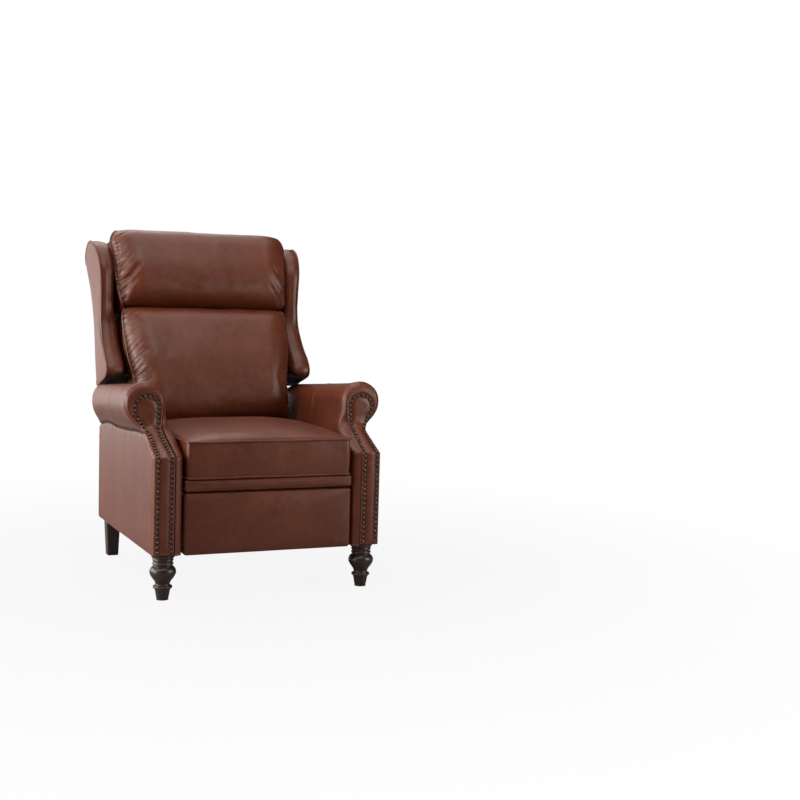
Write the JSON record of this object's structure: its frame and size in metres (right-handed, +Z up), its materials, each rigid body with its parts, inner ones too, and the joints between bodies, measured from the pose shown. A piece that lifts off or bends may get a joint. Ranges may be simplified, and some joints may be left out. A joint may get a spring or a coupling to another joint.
{
  "type": "wingback recliner",
  "caption": "Leather wingback push-back recliner with rolled nail-trimmed arms, turned front legs, reclining back with two pillows and a footrest on scissor links.",
  "frame": {"origin": "middle of the footprint of the closed chair, on the floor", "axes": "+X to the right of someone who looks at the chair's front, -Y the way the sitter faces, +Z up"},
  "size_m": [0.7734, 0.9114, 1.0623],
  "materials": {
    "padded_leather": "satin",
    "leather": "satin",
    "dark_wood": "satin",
    "frame_wood": "matte",
    "antique_brass": "satin",
    "link_steel": "satin",
    "spring_steel": "satin"
  },
  "bodies": {
    "base": {"front_leg_left": "dark_wood", "front_leg_right": "dark_wood", "rear_leg_left": "dark_wood", "rear_leg_right": "dark_wood", "leg_bolts": "spring_steel", "arm_front_post_left": "frame_wood", "arm_front_post_right": "frame_wood", "arm_rear_post_left": "frame_wood", "arm_rear_post_right": "frame_wood", "arm_top_board_left": "frame_wood", "arm_top_board_right": "frame_wood", "arm_bottom_rail_left": "frame_wood", "arm_bottom_rail_right": "frame_wood", "rear_bottom_rail": "frame_wood", "rear_top_rail": "frame_wood", "cross_stretcher": "frame_wood", "rear_cover": "leather", "outer_side_cover_left": "leather", "outer_side_cover_right": "leather", "inner_arm_cover_left": "leather", "inner_arm_cover_right": "leather", "arm_roll_left": "padded_leather", "arm_roll_right": "padded_leather", "arm_facing_left": "leather", "arm_facing_right": "leather", "nail_trim_left": "antique_brass", "nail_trim_right": "antique_brass", "base_bracket_left": "link_steel", "base_bracket_right": "link_steel"},
    "front_swing": {"front_swing_links": "link_steel"},
    "rear_swing": {"rear_swing_links": "link_steel"},
    "seat": {"seat_side_plate_left": "link_steel", "seat_side_plate_right": "link_steel", "seat_front_rail": "frame_wood", "seat_rear_rail": "frame_wood", "seat_side_rails": "frame_wood", "seat_springs": "spring_steel", "seat_cushion": "padded_leather", "seat_front_band": "leather"},
    "drive_link": {"drive_links": "link_steel"},
    "carrier_link": {"carrier_links": "link_steel"},
    "guide_link": {"guide_links": "link_steel", "torque_tube": "link_steel"},
    "tie_link": {"tie_links": "link_steel"},
    "footrest": {"footrest_board": "frame_wood", "footrest_pad": "padded_leather", "footrest_brackets": "link_steel"},
    "back": {"back_uprights": "frame_wood", "back_rails": "frame_wood", "back_side_boards": "frame_wood", "back_springs": "spring_steel", "back_hinge_brackets": "link_steel", "lumbar_pillow": "padded_leather", "head_pillow": "padded_leather", "wing_left": "padded_leather", "wing_right": "padded_leather", "outer_back_panel": "leather"}
  },
  "joints": [
    {"name": "footrest_open", "type": "hinge", "parent": "base", "child": "front_swing", "pos_m": [0, -0.30438, 0.19], "axis": [1, 0, 0], "range_deg": [0, 32]},
    {"name": "rear_swing_turn", "type": "hinge", "parent": "base", "child": "rear_swing", "pos_m": [0, -0.03438, 0.19], "axis": [1, 0, 0], "range_deg": [0, 32]},
    {"name": "seat_glide", "type": "hinge", "parent": "front_swing", "child": "seat", "pos_m": [0, -0.26911, 0.23854], "axis": [-1, 0, 0], "range_deg": [0, 32]},
    {"name": "drive_link_turn", "type": "hinge", "parent": "seat", "child": "drive_link", "pos_m": [0, -0.32208, 0.2561], "axis": [-1, 0, 0], "range_deg": [0, 121.5]},
    {"name": "carrier_link_turn", "type": "hinge", "parent": "drive_link", "child": "carrier_link", "pos_m": [0, -0.15557, 0.14174], "axis": [1, 0, 0], "range_deg": [0, 114]},
    {"name": "footrest_turn", "type": "hinge", "parent": "carrier_link", "child": "footrest", "pos_m": [0, -0.37828, 0.25085], "axis": [-1, 0, 0], "range_deg": [0, 86.35]},
    {"name": "guide_link_turn", "type": "hinge", "parent": "seat", "child": "guide_link", "pos_m": [0, -0.34218, 0.293], "axis": [-1, 0, 0], "range_deg": [0, 121]},
    {"name": "tie_link_turn", "type": "hinge", "parent": "guide_link", "child": "tie_link", "pos_m": [0, -0.1612, 0.1466], "axis": [1, 0, 0], "range_deg": [0, 110.7]},
    {"name": "back_recline", "type": "hinge", "parent": "seat", "child": "back", "pos_m": [0, 0.16562, 0.33], "axis": [-1, 0, 0], "range_deg": [0, 30]}
  ],
  "couplings": [
    {"joint": "rear_swing_turn", "follows": "footrest_open", "ratio": 1},
    {"joint": "seat_glide", "follows": "footrest_open", "ratio": 1},
    {"joint": "drive_link_turn", "follows": "footrest_open", "ratio": 3.7969},
    {"joint": "carrier_link_turn", "follows": "footrest_open", "ratio": 3.5625},
    {"joint": "footrest_turn", "follows": "footrest_open", "ratio": 2.6984},
    {"joint": "guide_link_turn", "follows": "footrest_open", "ratio": 3.7812},
    {"joint": "tie_link_turn", "follows": "footrest_open", "ratio": 3.4594}
  ]
}
